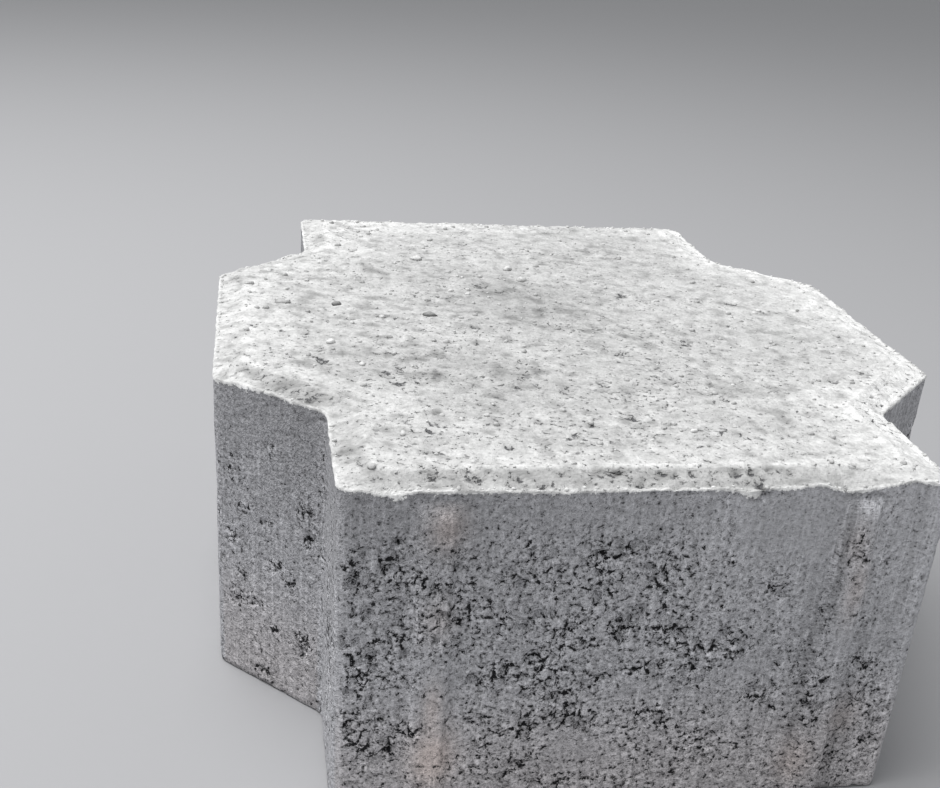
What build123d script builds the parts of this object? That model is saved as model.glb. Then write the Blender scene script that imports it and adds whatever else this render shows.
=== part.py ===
from build123d import *
import math
import os

# Interlocking concrete paving stone, pressed in one piece in a steel mould.
# From above it is a broad cross. The two ends are straight, and the middle of
# each side stands out, with slanted flanks that key into the corner recesses
# of the stones laid beside it.
#
# Frame: the origin is the centre of the bed, +Z is up to the wearing face,
# +Y runs along the stone from end to end, and +X across it.

# The raster that laid stones repeat at, joint included, and the thickness.
module_length = 240.0
module_width = 220.0
thickness = 100.0
joint = 3.0

# How far the middle stands out past the ends, on each side, and the angle of
# its flanks to the stone's length.
shoulder_step = 30.0
flank_angle = 45.0

# Bevel round the wearing face, and the narrow land that runs on from it,
# nearly level, out to the arris.
bevel_width = 4.0
bevel_drop = 2.2
land_width = 3.5
land_fall = 0.3

# Rounding of the upright corners.
end_corner_radius = 3.5
recess_corner_radius = 6.0
bulge_corner_radius = 6.0

# Spacer nibs: a pair of low upright ribs on each straight end. They stop
# below the wearing face, and a slope leads up from each one to the end.
nib_spacing = 108.0
nib_base_width = 11.0
nib_crest_width = 8.0
nib_top_below_face = 6.0
nib_slope_height = 4.0
nib_root = 1.0

# Two stones stand nib to nib across a joint, so each nib fills half of it.
nib_height = joint / 2


def corners(inset):
    """End, recess and bulge corners of one quarter of the outline.

    The inset moves the whole outline inwards from the laid module's, square
    to each side. The flanks are centred on the module's quarter lines, which
    is what makes the recesses of two stones take the middle of a third.
    """
    half_length = module_length / 2 - inset
    half_middle = module_width / 2 - inset
    half_end = half_middle - shoulder_step
    half_run = shoulder_step / math.tan(math.radians(flank_angle)) / 2
    tuck = inset * math.tan(math.radians(flank_angle) / 2)
    recess_y = module_length / 4 + half_run - tuck
    bulge_y = module_length / 4 - half_run - tuck
    return [(half_end, half_length), (half_end, recess_y), (half_middle, bulge_y)]


def outline(inset):
    """The whole cross: one quarter's corners, mirrored twice."""
    quarter = corners(inset)
    right_side = quarter + [(x, -y) for x, y in reversed(quarter)]
    left_side = [(-x, y) for x, y in reversed(right_side)]
    return make_face(Polyline(*right_side, *left_side, close=True))


def uprights(solid, corner):
    """The four upright edges that stand at one corner's mirrored places."""
    x, y = corner
    return solid.edges().filter_by(Axis.Z).filter_by(
        lambda edge: abs(abs(edge.center().X) - x) < 0.01 and abs(abs(edge.center().Y) - y) < 0.01
    )


# The stone as it would come from the mould with no bevel: the module less
# half a joint all round, with rounded upright corners.
body_inset = joint / 2
stone = extrude(outline(body_inset), thickness)
radii = (end_corner_radius, recess_corner_radius, bulge_corner_radius)
for corner, radius in zip(corners(body_inset), radii):
    stone = fillet(uprights(stone, corner), radius)

# The bevel and its land are cut by a hipped roof. The land's slope runs on
# past the sides, so that it also trims the rounded corners, and the slopes
# meet in sharp mitres.
land_height = thickness - bevel_drop
arris_height = land_height - land_fall
roof = loft(
    [
        outline(body_inset - land_width),
        Pos(0, 0, arris_height - land_fall) * outline(body_inset - land_width),
        Pos(0, 0, land_height) * outline(body_inset + land_width),
        Pos(0, 0, thickness) * outline(body_inset + land_width + bevel_width),
    ],
    ruled=True,
)
stone = stone & roof

# One nib, from its plan and its side view, standing on the +Y end.
end_y = module_length / 2 - body_inset
nib_top = thickness - nib_top_below_face
nib_plan = make_face(
    Polyline(
        (-nib_base_width / 2, -nib_root),
        (-nib_base_width / 2, 0),
        (-nib_crest_width / 2, nib_height),
        (nib_crest_width / 2, nib_height),
        (nib_base_width / 2, 0),
        (nib_base_width / 2, -nib_root),
        close=True,
    )
)
nib_side = make_face(
    Plane.YZ
    * Polyline(
        (-nib_root, 0),
        (nib_height, 0),
        (nib_height, nib_top - nib_slope_height),
        (0, nib_top),
        (-nib_root, nib_top),
        close=True,
    )
)
nib = extrude(nib_plan, thickness) & extrude(nib_side, nib_base_width, both=True)

for x in (-nib_spacing / 2, nib_spacing / 2):
    end_nib = Pos(x, end_y, 0) * nib
    stone = stone + end_nib + mirror(end_nib, Plane.XZ)

os.makedirs("parts", exist_ok=True)
export_step(stone, "parts/paving_stone.step")
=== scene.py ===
"""Looks of an interlocking concrete paving stone.

The stone is one casting, pressed from dry concrete. Its wearing face is pale
and sandy, with a bevel, a narrow land and a ragged lip along the arris. Its
sides were drawn out of a steel mould, so they are smooth near the top, open
and full of voids below, and marked by upright drag lines. Sizes are in
metres, or in millimetres where a comment says so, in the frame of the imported
part: origin at the centre of the bed, +Z up to the wearing face, +Y from end
to end.
"""

from __future__ import annotations

import logging
import math
from dataclasses import dataclass, field
from enum import IntEnum
from functools import reduce
from itertools import product
from typing import ClassVar, Union

import bpy
import numpy as np
from mathutils import Matrix, Vector

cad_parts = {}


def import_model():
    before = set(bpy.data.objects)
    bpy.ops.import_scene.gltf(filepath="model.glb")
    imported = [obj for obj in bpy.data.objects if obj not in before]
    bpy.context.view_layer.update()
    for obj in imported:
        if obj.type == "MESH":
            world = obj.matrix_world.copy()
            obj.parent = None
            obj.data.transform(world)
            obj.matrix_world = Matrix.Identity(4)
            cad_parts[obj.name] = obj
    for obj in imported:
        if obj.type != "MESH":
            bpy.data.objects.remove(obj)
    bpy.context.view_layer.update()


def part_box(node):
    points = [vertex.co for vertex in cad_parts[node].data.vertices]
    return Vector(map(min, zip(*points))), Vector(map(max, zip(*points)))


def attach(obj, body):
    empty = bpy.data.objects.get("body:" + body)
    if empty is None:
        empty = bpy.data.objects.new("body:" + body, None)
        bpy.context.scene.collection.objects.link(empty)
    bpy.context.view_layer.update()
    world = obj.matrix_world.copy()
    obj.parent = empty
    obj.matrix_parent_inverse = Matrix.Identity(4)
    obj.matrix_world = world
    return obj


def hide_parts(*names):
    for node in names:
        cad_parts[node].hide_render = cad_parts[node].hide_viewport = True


MM = 0.001
# The flanks lean at 45 degrees. LEAN is how far an inset slides their
# corners, and SLANT how far a step along them goes in x and in y.
LEAN = math.tan(math.radians(22.5))
SLANT = math.sqrt(0.5)
LOG = logging.getLogger("paving_stone")
Triple = tuple[float, float, float]
Socket = bpy.types.NodeSocket
Value = Union[Socket, float, tuple[float, ...]]
Array = np.ndarray
Numbers = Union[Array, float]


# Noise


class LatticeNoise:
    """Smooth seeded noise in space, worked out for whole arrays of points."""

    corners: int = 256
    gain: float = 1.6
    octave_shift: float = 17.3

    def __init__(self, seed: int) -> None:
        """Deals a shuffled order and a slope for each lattice corner.

        Args:
            seed: the same seed gives the same noise.
        """
        rng = np.random.default_rng(seed)
        self.order = rng.permutation(self.corners)
        slopes = rng.normal(size=(self.corners, 3))
        self.slopes = slopes / np.linalg.norm(slopes, axis=1, keepdims=True)
        self.chances = rng.random((self.corners, 4))

    def corner(self, cell: Array) -> Array:
        """Number of each lattice cell, its three places shuffled in by turns."""
        return reduce(lambda mixed, place: self.order[np.mod(mixed + place, self.corners)], cell.T, 0)

    def __call__(self, points: Array, size: float) -> Array:
        """Gradient noise: slopes at the eight corners of a cell, blended.

        Each corner's value is its slope times the way to it, and the blend
        is the curve 6t^5 - 15t^4 + 10t^3 along each axis.

        Args:
            points: places, one row each.
            size: width of one lattice cell.

        Returns:
            Values of about -1 to 1, one a row.
        """
        place = points / size
        cell = np.floor(place).astype(int)
        part = place - cell
        ease = part**3 * (part * (part * 6 - 15) + 10)
        total = np.zeros(len(points))
        for step in product((0, 1), repeat=3):
            offset = np.array(step)
            slope = self.slopes[self.corner(cell + offset)]
            weight = np.prod(np.where(offset, ease, 1 - ease), axis=1)
            total += weight * np.einsum("ij,ij->i", slope, part - offset)
        return total * self.gain

    def fractal(self, points: Array, size: float, octaves: int = 3) -> Array:
        """Sum of noises, each half as wide and half as strong as the last."""
        moved = [points + self.octave_shift * i * size for i in range(octaves)]
        return sum(self(m, size / 2**i) / 2**i for i, m in enumerate(moved)) / (2 - 2 ** (1 - octaves))

    def hollows(self, points: Array, size: float, chance: Numbers) -> Array:
        """Round hollows, one at most in each cell of space.

        A cell's hollow has a random centre and radius, and is there if its
        own random number is under the chance at the point. Its depth falls
        from 1 at the centre to 0 at the radius as 1 - (d / r)^2.

        Args:
            points: places, one row each.
            size: width of one cell.
            chance: share of cells that hold a hollow, at each point.

        Returns:
            Depths from 0 to 1, one a row.
        """
        place = points / size
        cell = np.floor(place).astype(int)
        deepest = np.zeros(len(points))
        for step in product((-1, 0, 1), repeat=3):
            near = cell + np.array(step)
            luck = self.chances[self.corner(near)]
            gap = np.linalg.norm(near + luck[:, :3] - place, axis=1)
            radius = 0.35 + 0.5 * luck[:, 0] * luck[:, 1]
            depth = np.clip(1 - (gap / radius) ** 2, 0, 1) * (luck[:, 3] < chance)
            deepest = np.maximum(deepest, depth)
        return deepest


def rise(value: Array, low: float, high: float) -> Array:
    """Eased step from 0 at low to 1 at high, as 3t^2 - 2t^3."""
    t = np.clip((value - low) / (high - low), 0, 1)
    return t * t * (3 - 2 * t)


def bell(value: Array, middle: Numbers, width: Numbers) -> Array:
    """Bell curve exp(-t^2), where t is the distance to the middle in widths."""
    return np.exp(-(((value - middle) / width) ** 2))


# Outline


@dataclass(frozen=True)
class Outline:
    """Plan of the stone: a cross with slanted flanks and rounded corners."""

    half_length: float
    half_middle: float
    shoulder_step: float = 30 * MM
    flank_middle: float = 60 * MM
    half_joint: float = 1.5 * MM
    end_radius: float = 3.5 * MM
    recess_radius: float = 6 * MM
    bulge_radius: float = 6 * MM
    least_radius: float = 1.0 * MM
    across: int = 144
    waist_steps: int = 28
    flank_steps: int = 28
    middle_steps: int = 31
    end_arc_steps: int = 5
    arc_steps: int = 4

    def side(self, inset: float) -> Array:
        """The +X side as a path from the +Y end to the -Y end.

        Straight runs are even steps, and corners are arcs tangent to them.
        The flank leans at 45 degrees, so an inset moves its two corners
        towards the middle by the inset times tan(22.5 degrees).

        Args:
            inset: how far the path lies inside the stone's side.

        Returns:
            Places (x, y), one row a step.
        """
        end_x = self.half_middle - self.shoulder_step - inset
        middle_x = self.half_middle - inset
        end_y = self.half_length - inset
        half_run = self.shoulder_step / 2
        tuck = (inset + self.half_joint) * LEAN
        end_r = max(self.end_radius - inset, self.least_radius)
        recess_r = self.recess_radius
        bulge_r = max(self.bulge_radius - inset, self.least_radius)

        def arc(x: float, y: float, r: float, start: float, stop: float, steps: int) -> Array:
            """Even steps round a circle, without its last point."""
            turn = np.radians(np.linspace(start, stop, steps + 1))[:-1]
            return np.stack([x + r * np.cos(turn), y + r * np.sin(turn)], axis=1)

        def run(start: tuple[float, float], stop: tuple[float, float], steps: int) -> Array:
            """Even steps along a straight line, without its last point."""
            return np.linspace(start, stop, steps + 1)[:-1]

        recess = (end_x + recess_r, self.flank_middle + half_run - tuck + recess_r * LEAN)
        bulge = (middle_x - bulge_r, self.flank_middle - half_run - tuck - bulge_r * LEAN)
        flank_top = (recess[0] - recess_r * SLANT, recess[1] - recess_r * SLANT)
        flank_foot = (bulge[0] + bulge_r * SLANT, bulge[1] + bulge_r * SLANT)
        half = np.concatenate(
            [
                arc(end_x - end_r, end_y - end_r, end_r, 90, 0, self.end_arc_steps),
                run((end_x, end_y - end_r), (end_x, recess[1]), self.waist_steps),
                arc(*recess, recess_r, 180, 225, self.arc_steps),
                run(flank_top, flank_foot, self.flank_steps),
                arc(*bulge, bulge_r, 45, 0, self.arc_steps),
                run((middle_x, bulge[1]), (middle_x, 0), self.middle_steps),
            ]
        )
        return np.concatenate([half, [(middle_x, 0)], half[::-1] * (1, -1)])

    def fill(self, inset: float, stride: int = 1) -> Array:
        """Grid of rows across the plan, each stretched to the sides.

        Args:
            inset: how far the grid's edge lies inside the stone's side.
            stride: takes every so many steps only.

        Returns:
            Places (x, y) on a grid of rows from +Y to -Y, columns from -X.
        """
        side = self.side(inset)[::stride]
        x = side[:, :1] * np.linspace(-1, 1, self.across // stride + 1)
        return np.stack([x, np.broadcast_to(side[:, 1:], x.shape)], axis=2)

    def loop(self, inset: float) -> Array:
        """The closed plan line at an inset, clockwise from its -X, +Y corner."""
        return border(self.fill(inset))


def border(grid: Array) -> Array:
    """Edge entries of a grid, clockwise from its first, each one once."""
    return np.concatenate([grid[0, :-1], grid[:-1, -1], grid[-1, :0:-1], grid[:0:-1, 0]])


def squares(index: Array) -> Array:
    """Faces of a grid of vertex numbers, each turning from row to columns."""
    corners = (index[:-1, :-1], index[:-1, 1:], index[1:, 1:], index[1:, :-1])
    return np.stack(corners, axis=2).reshape(-1, 4)


# Casting


class Region(IntEnum):
    """Which part of the casting's skin a vertex lies in."""

    FACE = 0
    BEVEL = 1
    WALL = 2
    BED = 3


@dataclass(frozen=True)
class Skin:
    """Vertices of the smooth stone, each with its direction out and region."""

    points: Array
    outward: Array
    region: Array

    @property
    def mm(self) -> Array:
        """Places in millimetres."""
        return self.points / MM

    def pick(self, face: Numbers, bevel: Numbers, wall: Numbers, bed: Numbers) -> Array:
        """Each vertex's number, out of the array for its region."""
        return np.select([self.region == region for region in Region], [face, bevel, wall, bed])


@dataclass(frozen=True)
class Spot:
    """A soft-edged place on the stone, in millimetres."""

    x: float
    y: float
    z: float
    across: float
    up: float
    strength: float = 1.0

    def share(self, mm: Array) -> Array:
        """Bell curve round the spot: its strength times exp(-(across^2 + up^2))."""
        across = np.hypot(mm[:, 0] - self.x, mm[:, 1] - self.y) / self.across
        return self.strength * np.exp(-(across**2) - ((mm[:, 2] - self.z) / self.up) ** 2)


Spots = tuple[Spot, ...]
# Where the -Y end lies, in millimetres.
END = -118.5


def anywhere(*rows: tuple[float, ...]) -> Spots:
    """Spots from rows of x, y, z, width across, height and strength."""
    return tuple(Spot(*row) for row in rows)


def on_end(*rows: tuple[float, ...]) -> Spots:
    """Spots on the -Y end, from rows of x, z, width, height and strength."""
    return tuple(Spot(x, END, *rest) for x, *rest in rows)


def on_top(z: float, up: float, *rows: tuple[float, ...]) -> Spots:
    """Spots at one height, from rows of x, y, width and strength."""
    return tuple(Spot(x, y, z, across, up, *rest) for x, y, across, *rest in rows)


def shares(spots: Spots, mm: Array) -> Array:
    """What several spots add up to at each place."""
    return sum(spot.share(mm) for spot in spots)


# Nests of voids in the -Y end and the flank beside it, and, with a
# strength below 0, places there that the mould smeared shut.
VOID_NESTS = on_end(
    (-62, 74, 6, 2.5), (-65, 79, 3, 4, 0.6), (-65, 55.5, 6, 2.2, 1.1), (-71, 43, 2, 2, 0.9),
    (-73.5, 31, 4, 4), (-73, 24, 3, 3, 0.8), (-57.5, 28, 2.5, 2), (-50, 31, 3.5, 1.6, 0.8),
    (-37, 45, 4, 4, 1.3), (-28, 48, 5, 2, 0.9), (-26, 60, 3, 1.8, 1.1), (-19, 59, 3, 1.8, 0.8),
    (-15, 79, 3, 4, 0.9), (-17, 85, 1.5, 2, 0.9), (-10, 67, 2.5, 3, 0.8), (-12, 63, 6, 1.5, 0.7),
    (-6, 56, 2.5, 3.5, 1.2), (6, 56, 8, 1.5, 1.1), (13, 52, 5, 2.2, 1.2), (22, 49.5, 4, 1.5),
    (27, 48, 2, 2, 1.2), (4, 45, 3, 1.5), (18, 40, 2, 2, 0.8), (21, 77, 1.5, 3, 0.9), (35, 68, 5, 3.5),
    (49.3, 58, 1.8, 5, 1.3), (48, 41, 4, 4, 1.1), (53, 40, 2.5, 1.5), (51, 27, 5, 5, 0.9),
    (55, 80, 4, 9, 0.6), (61, 90, 1.5, 4, 0.8), (64, 44, 4, 3, 1.2), (62, 57, 3, 3),
    (64.5, 73, 1.5, 5, 0.8), (73, 69, 1.5, 2, 0.8), (-27, 28, 3.5, 3.5, 1.2), (-17, 31, 4, 3.5, 1.3),
    (-9, 28, 4, 2, 0.9), (5, 31, 6, 2), (36, 33, 4, 1.5), (-39, 21, 4, 4, 1.1), (-28, 17, 3, 3, 0.9),
    (20, 20, 6, 4, 0.8), (62, 10, 6, 5, 1.2), (66, 32, 5, 9, 0.85), (72, 18, 4, 9, 0.8),
    (77, 29, 2.5, 9, 0.8), (68, 40, 5, 7, 0.7), (-52, 43, 11, 6, -0.9), (-50, 22, 7, 6, -0.7),
    (-14, 20, 8, 4, -0.8), (2, 39, 10, 4, -0.8), (34, 83, 11, 9, -1.0), (44, 72, 4, 14, -0.8),
    (56, 52, 4, 8, -0.7), (33, 42, 8, 5, -0.5), (-40, 68, 5, 6, -0.4),
) + anywhere(
    (-100.5, -52.5, 58.5, 3, 2.2, 1.7), (-94, -59, 57, 1.6, 3, 1.3), (-83, -70, 66, 3.5, 3, 1.5),
    (-83, -70, 56.5, 1.6, 2.5, 1.6), (-103.7, -49.3, 48, 3, 4, 1.1), (-103.5, -49.5, 69, 2.5, 5, 1.0),
    (-91, -62, 44, 4, 2, 1.7), (-101.5, -51.5, 36, 2, 3, 1.2), (-87.5, -65.5, 40, 3.5, 2, 1.3),
    (-102.8, -50, 27, 3.5, 3, 1.5), (-97.8, -55, 28, 4, 2, 1.2), (-92.5, -60.5, 21.5, 3.5, 2, 1.3),
    (-84, -69, 22, 4, 5, 1.6), (-97.5, -55.5, 14.5, 2.5, 3, 1.0), (-95, -58, 4, 5, 4, 1.4),
    (-93, -60, 80.5, 1.5, 4, 0.9), (-78.5, -96, 45, 15, 26, 0.8), (-78.5, -92, 14, 12, 14, 0.5),
)

# Warm stains that the mould left down the nibs of the -Y end.
STAINS = on_end(
    (-52, 88, 4.5, 6, 0.7), (-53, 62, 4, 6, 0.3), (-53, 36, 2.5, 7, 0.55), (-52, 19, 5.5, 9, 1.0),
    (56, 68, 3, 9, 0.4), (53, 82, 3, 6, 0.3), (62, 26, 5, 6, 0.35), (50, 12, 5, 8, 0.5),
)

# Where the lip hangs lower over the -Y end.
LIP_DROOPS = on_top(
    97.5, 90,
    (-68, END, 2.5, 0.5), (-64, END, 2, 1.9), (24, END, 3, 1.8), (53, END, 4, 0.8),
    (-108.5, -46, 7, 0.6),
)

# Where the arris itself runs high or low, worn or chipped in the mould, in
# the flat plan.
ARRIS_WAVES = on_top(
    0, 90,
    (-108.5, -46, 9, -1.5), (-80, -73, 10, 0.8), (-75, END, 6, 0.8), (22, END, 4, -0.9),
    (40, END, 5, 0.9), (50, END, 6, -0.9), (67, END, 7, 1.5), (-26, END, 9, -0.3),
)

# Where the bevel is open and dark, and where it is trowelled smooth.
BEVEL_PATCHES = on_top(
    98, 9,
    (12, -114, 22, 0.12), (-14, -114, 12, 0.10), (62, -115, 22, -0.35), (-52, -115, 20, 0.1),
    (-92, -56, 7, 0.3), (-82, -65, 7, 0.4), (75, -80, 14, 0.3),
)

# Paler and darker areas of the wearing face.
FACE_TONES = on_top(
    99, 99,
    (-108, 10, 34, 0.2), (75, -105, 32, 0.45), (-55, 95, 30, 0.35), (85, 20, 34, 0.35),
    (60, -70, 22, 0.3), (-10, 15, 24, -0.75), (25, 105, 12, -0.6), (-40, 50, 14, -0.3),
    (-35, -45, 20, -0.35), (-92, -56, 6, -0.9), (-82, -65, 7, -1.2), (-70, -40, 16, -0.3),
    (-74, -95, 14, -0.45),
)

# Pits in the wearing face.
FACE_PITS = on_top(
    99, 9,
    (-77, -40, 1.5), (-57, -56, 1.3), (-52, -56, 1.2), (-82, -16, 1.4), (-25, -58, 1.2), (-10, -84, 1.3),
    (34, -67, 1.2), (-11, -62, 1.1), (-20, -48, 1.2), (-53, -63, 1.3), (-97, -10, 1.4), (-23, -82, 1.3),
    (-53, -88, 1.0), (-58, -94, 1.0), (-34, -98, 1.1), (-60, -50, 1.6), (-78, -38, 1.3), (73, -53, 1.6),
    (15, -32, 1.6), (66, 18, 1.8), (28, 24, 1.8), (-20, 32, 2.2), (-14, 27, 1.6), (3, -80, 1.4),
    (36, -22, 1.8), (12, -33, 1.3),
) + on_top(
    98, 9,
    (-34.3, -114, 1.0, 1.2), (-36, -113.6, 0.8, 0.9), (-30, -117, 0.9, 1.3), (-45.4, -113.8, 1.1, 1.2),
    (-43.6, -113, 0.8), (-55.1, -113, 0.9), (-50, -109, 0.8), (-47, -110.5, 0.8, 0.9),
    (-24, -112, 0.8, 0.9), (-9, -111.3, 1.0, 1.2), (-5, -116.5, 0.8), (1.6, -112.6, 0.9, 1.2),
    (5, -112.2, 0.9, 1.1), (9.5, -112.6, 0.9, 1.1), (3.6, -117.8, 0.8), (20.8, -112.8, 1.0, 1.2),
    (24.6, -112.3, 1.0, 1.3), (29.4, -110.7, 0.9, 1.1), (27, -114, 0.9), (25.6, -117.2, 1.2, 1.5),
    (34, -113, 0.8, 0.9),
) + anywhere(
    (48, -118.3, 97, 1.2, 2, 1.2),
)

# Chips in the sides, just under the arris.
WALL_CHIPS = on_end(
    (26.3, 95.4, 1.3, 1.6, 1.6), (55.0, 94.5, 1.6, 0.8, 1.2), (58.9, 92.8, 0.9, 1.6, 0.9),
    (58.6, 89.4, 0.9, 1.1, 0.9),
)


@dataclass
class Casting:
    """The whole stone as one closed skin, with its relief."""

    # Stands for the height above the lip's line off the sides.
    OFF_WALL: ClassVar[float] = 5.0

    outline: Outline
    height: float
    bevel_width: float = 4.0 * MM
    bevel_drop: float = 2.2 * MM
    land_width: float = 3.5 * MM
    land_fall: float = 0.9 * MM
    face_sink: float = 1.15 * MM
    lip_height: float = 0.4 * MM
    lip_inset: float = 0.7 * MM
    lip_width: float = 0.6 * MM
    nib_spacing: float = 108 * MM
    nib_base: float = 11 * MM
    nib_crest: float = 8 * MM
    nib_height: float = 1.5 * MM
    nib_top: float = 94 * MM
    nib_slope: float = 4 * MM
    lip_rows: int = 8
    wall_rows: int = 70
    lip_band: float = 4 * MM
    wall_start: float = 0.15 * MM
    wall_foot: float = 0.9 * MM
    bed_inset: float = 2.2 * MM
    # Insets of the rings down the bevel, then insets and heights of those
    # round the foot, in millimetres.
    bevel_rings: tuple[float, ...] = (6.8, 6.0, 5.0, 4.1, 3.4, 2.5, 1.7, 1.1, 0.55, 0.12)
    foot_rings: tuple[tuple[float, float], ...] = ((0.15, 0.3), (0.7, 0.0))
    # Widths of the cells of its noises, in millimetres.
    wave_size: float = 45
    lump_size: float = 6.5
    grain_size: float = 2.6
    drag_size: float = 2.2
    big_void_size: float = 3.8
    small_void_size: float = 2.6
    pit_size: float = 4.2
    # Heights and depths of the relief, in millimetres.
    ridge_height: float = 0.55
    wall_sink: float = 0.3
    big_void: float = 1.7
    small_void: float = 0.7
    # How dark the painted shade in a hollow gets, where a void of full depth is 1,
    # and how far that opens the sides and the top and adds painted shade to the colour.
    darkest_painted_shade: float = 2.6
    opened_side: float = 0.2
    opened_top: float = 0.42
    hollow_painted_shade: float = 0.42
    # Openness of the bed and of the lip.
    plain_openness: float = 0.2
    seed: int = 11
    noise: LatticeNoise = field(init=False)

    def __post_init__(self) -> None:
        """Deals the noise from the seed."""
        self.noise = LatticeNoise(self.seed)

    @property
    def crease_inset(self) -> float:
        """How far the wearing face's edge lies inside the side."""
        return self.bevel_width + self.land_width

    @property
    def arris(self) -> float:
        """Height of the arris, where the land meets the side."""
        return self.height - self.bevel_drop - self.land_fall

    @property
    def face_level(self) -> float:
        """Mean height of the wearing face."""
        return self.height - self.face_sink

    def bevel_height(self, inset: Array) -> Array:
        """Height of the bevel and land at a distance inside the side.

        Straight slopes between the crease, the land's two edges and the
        arris, with a bell-shaped lip added near the arris.

        Args:
            inset: distances inside the side.

        Returns:
            Heights above the bed.
        """
        turns = [0, self.land_width, self.crease_inset]
        levels = [self.arris, self.arris + self.land_fall, self.face_level]
        lip = self.lip_height * bell(inset, self.lip_inset, self.lip_width)
        return np.interp(inset, turns, levels) + lip

    def rings(self) -> list[tuple[float, float, Region]]:
        """The rings that carry the skin from the crease down to the bed.

        Returns:
            Inset, height and region of each.
        """
        insets = np.array(self.bevel_rings) * MM
        bevel = [(i, h, Region.BEVEL) for i, h in zip(insets, self.bevel_height(insets))]
        top = self.arris - self.wall_start
        fine = np.linspace(top, top - self.lip_band, self.lip_rows + 1)[:-1]
        coarse = np.linspace(top - self.lip_band, self.wall_foot, self.wall_rows + 1)
        wall = [(0.0, h, Region.WALL) for h in (*fine, *coarse)]
        return bevel + wall + [(i * MM, h * MM, Region.WALL) for i, h in self.foot_rings]

    def skin(self) -> tuple[Array, list[Array], Array]:
        """Smooth skin of the stone, before any relief.

        A grid fills the wearing face, rings carry its edge over the bevel
        and down the sides, and a grid of every second step fills the bed. A
        band of three triangles to each of its steps joins it to the last
        ring.

        Returns:
            Vertices, the face arrays, and each vertex's region number.
        """
        parts, marks = [], []

        def add(flat: Array, level: float, region: Region) -> Array:
            """Adds vertices at one height.

            Args:
                flat: their places (x, y).
                level: their height.
                region: the part of the skin that they lie in.

            Returns:
                Their numbers, in the shape of the places.
            """
            first, count = sum(map(len, marks)), flat[..., 0].size
            parts.append(np.column_stack([flat.reshape(-1, 2), np.full(count, level)]))
            marks.append(np.full(count, region))
            return first + np.arange(count).reshape(flat.shape[:-1])

        plan = self.outline
        face = add(plan.fill(self.crease_inset), self.face_level, Region.FACE)
        quads, upper = [squares(face.T)], border(face)
        for inset, level, region in self.rings():
            lower = add(plan.loop(inset), level, region)
            quads.append(np.stack([upper, np.roll(upper, -1), np.roll(lower, -1), lower], axis=1))
            upper = lower
        bed = add(plan.fill(self.bed_inset, stride=2), 0.0, Region.BED)
        quads.append(squares(bed))
        inner = border(bed)
        after = np.roll(inner, -1)
        start, middle, stop = upper[0::2], upper[1::2], np.roll(upper, -2)[0::2]
        band = [(start, middle, inner), (middle, after, inner), (middle, stop, after)]
        joined = np.concatenate([np.stack(corners, axis=1) for corners in band])
        return np.concatenate(parts), [np.concatenate(quads), joined], np.concatenate(marks)

    @staticmethod
    def normals(points: Array, faces: list[Array]) -> Array:
        """Outward directions: the faces' area vectors, summed at each vertex.

        Args:
            points: places of the vertices.
            faces: arrays of quads and of triangles.

        Returns:
            Unit directions, one row a vertex.
        """
        total = np.zeros_like(points)
        for group in faces:
            a, b, c = (points[group[:, i]] for i in (0, 1, 2))
            area = np.cross(b - a, c - a)
            if group.shape[1] == 4:
                area = area + np.cross(c - a, points[group[:, 3]] - a)
            for corner, axis in product(range(group.shape[1]), range(3)):
                total[:, axis] += np.bincount(group[:, corner], area[:, axis], len(points))
        return total / np.linalg.norm(total, axis=1, keepdims=True)

    def inside(self, points: Array) -> Array:
        """Distance inside the plan's edge, in millimetres.

        The plan is a long bar joined to a broad octagon and cut off at both
        ends, so the distance is the larger of those inside the two, or the
        distance to the end where that is less.

        Args:
            points: places, one row each.

        Returns:
            Distances, one a row.
        """
        plan = self.outline
        x, y = np.abs(points[:, 0]), np.abs(points[:, 1])
        waist = plan.half_middle - plan.shoulder_step
        flank = waist + plan.flank_middle + plan.shoulder_step / 2 - plan.half_joint * LEAN
        octagon = np.minimum(plan.half_middle - x, (flank - x - y) * SLANT)
        return np.minimum(np.maximum(waist - x, octagon), plan.half_length - y) / MM

    def nib_flat(self, skin: Skin) -> Array:
        """How far a vertex is up a spacer nib's plan, 0 beside it, 1 on it.

        Args:
            skin: vertices of the smooth stone.

        Returns:
            Shares, one a row.
        """
        across = np.abs(np.abs(skin.points[:, 0]) - self.nib_spacing / 2)
        flat = np.clip((self.nib_base / 2 - across) / (self.nib_base - self.nib_crest) * 2, 0, 1)
        return flat * (np.abs(skin.outward[:, 1]) > 0.9)

    def arris_wave(self, points: Array) -> Array:
        """How far the arris runs above or below its mean, in millimetres.

        Args:
            points: places, one row each, of any height.

        Returns:
            Heights, one a row.
        """
        flat = points / MM * (1, 1, 0)
        drift = 0.3 * self.noise(flat + 2.5, 24) + 0.2 * self.noise(flat + 6.5, 6)
        return drift + shares(ARRIS_WAVES, flat)

    def waved(self, points: Array, region: Array) -> Array:
        """The skin with its arris wave.

        A vertex near the arris moves up or down by the wave times a share
        that runs out at the crease and 9 mm down the side.

        Args:
            points: places on the smooth skin.
            region: region number of each vertex.

        Returns:
            The moved places.
        """
        inwards = 1 - rise(self.inside(points), 0.5, 6.5)
        down = 1 - rise((self.arris - points[:, 2]) / MM, 0, 9)
        share = np.where(region == Region.BEVEL, inwards, down * (region == Region.WALL))
        moved = points.copy()
        moved[:, 2] += share * self.arris_wave(points) * MM
        return moved

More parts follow.
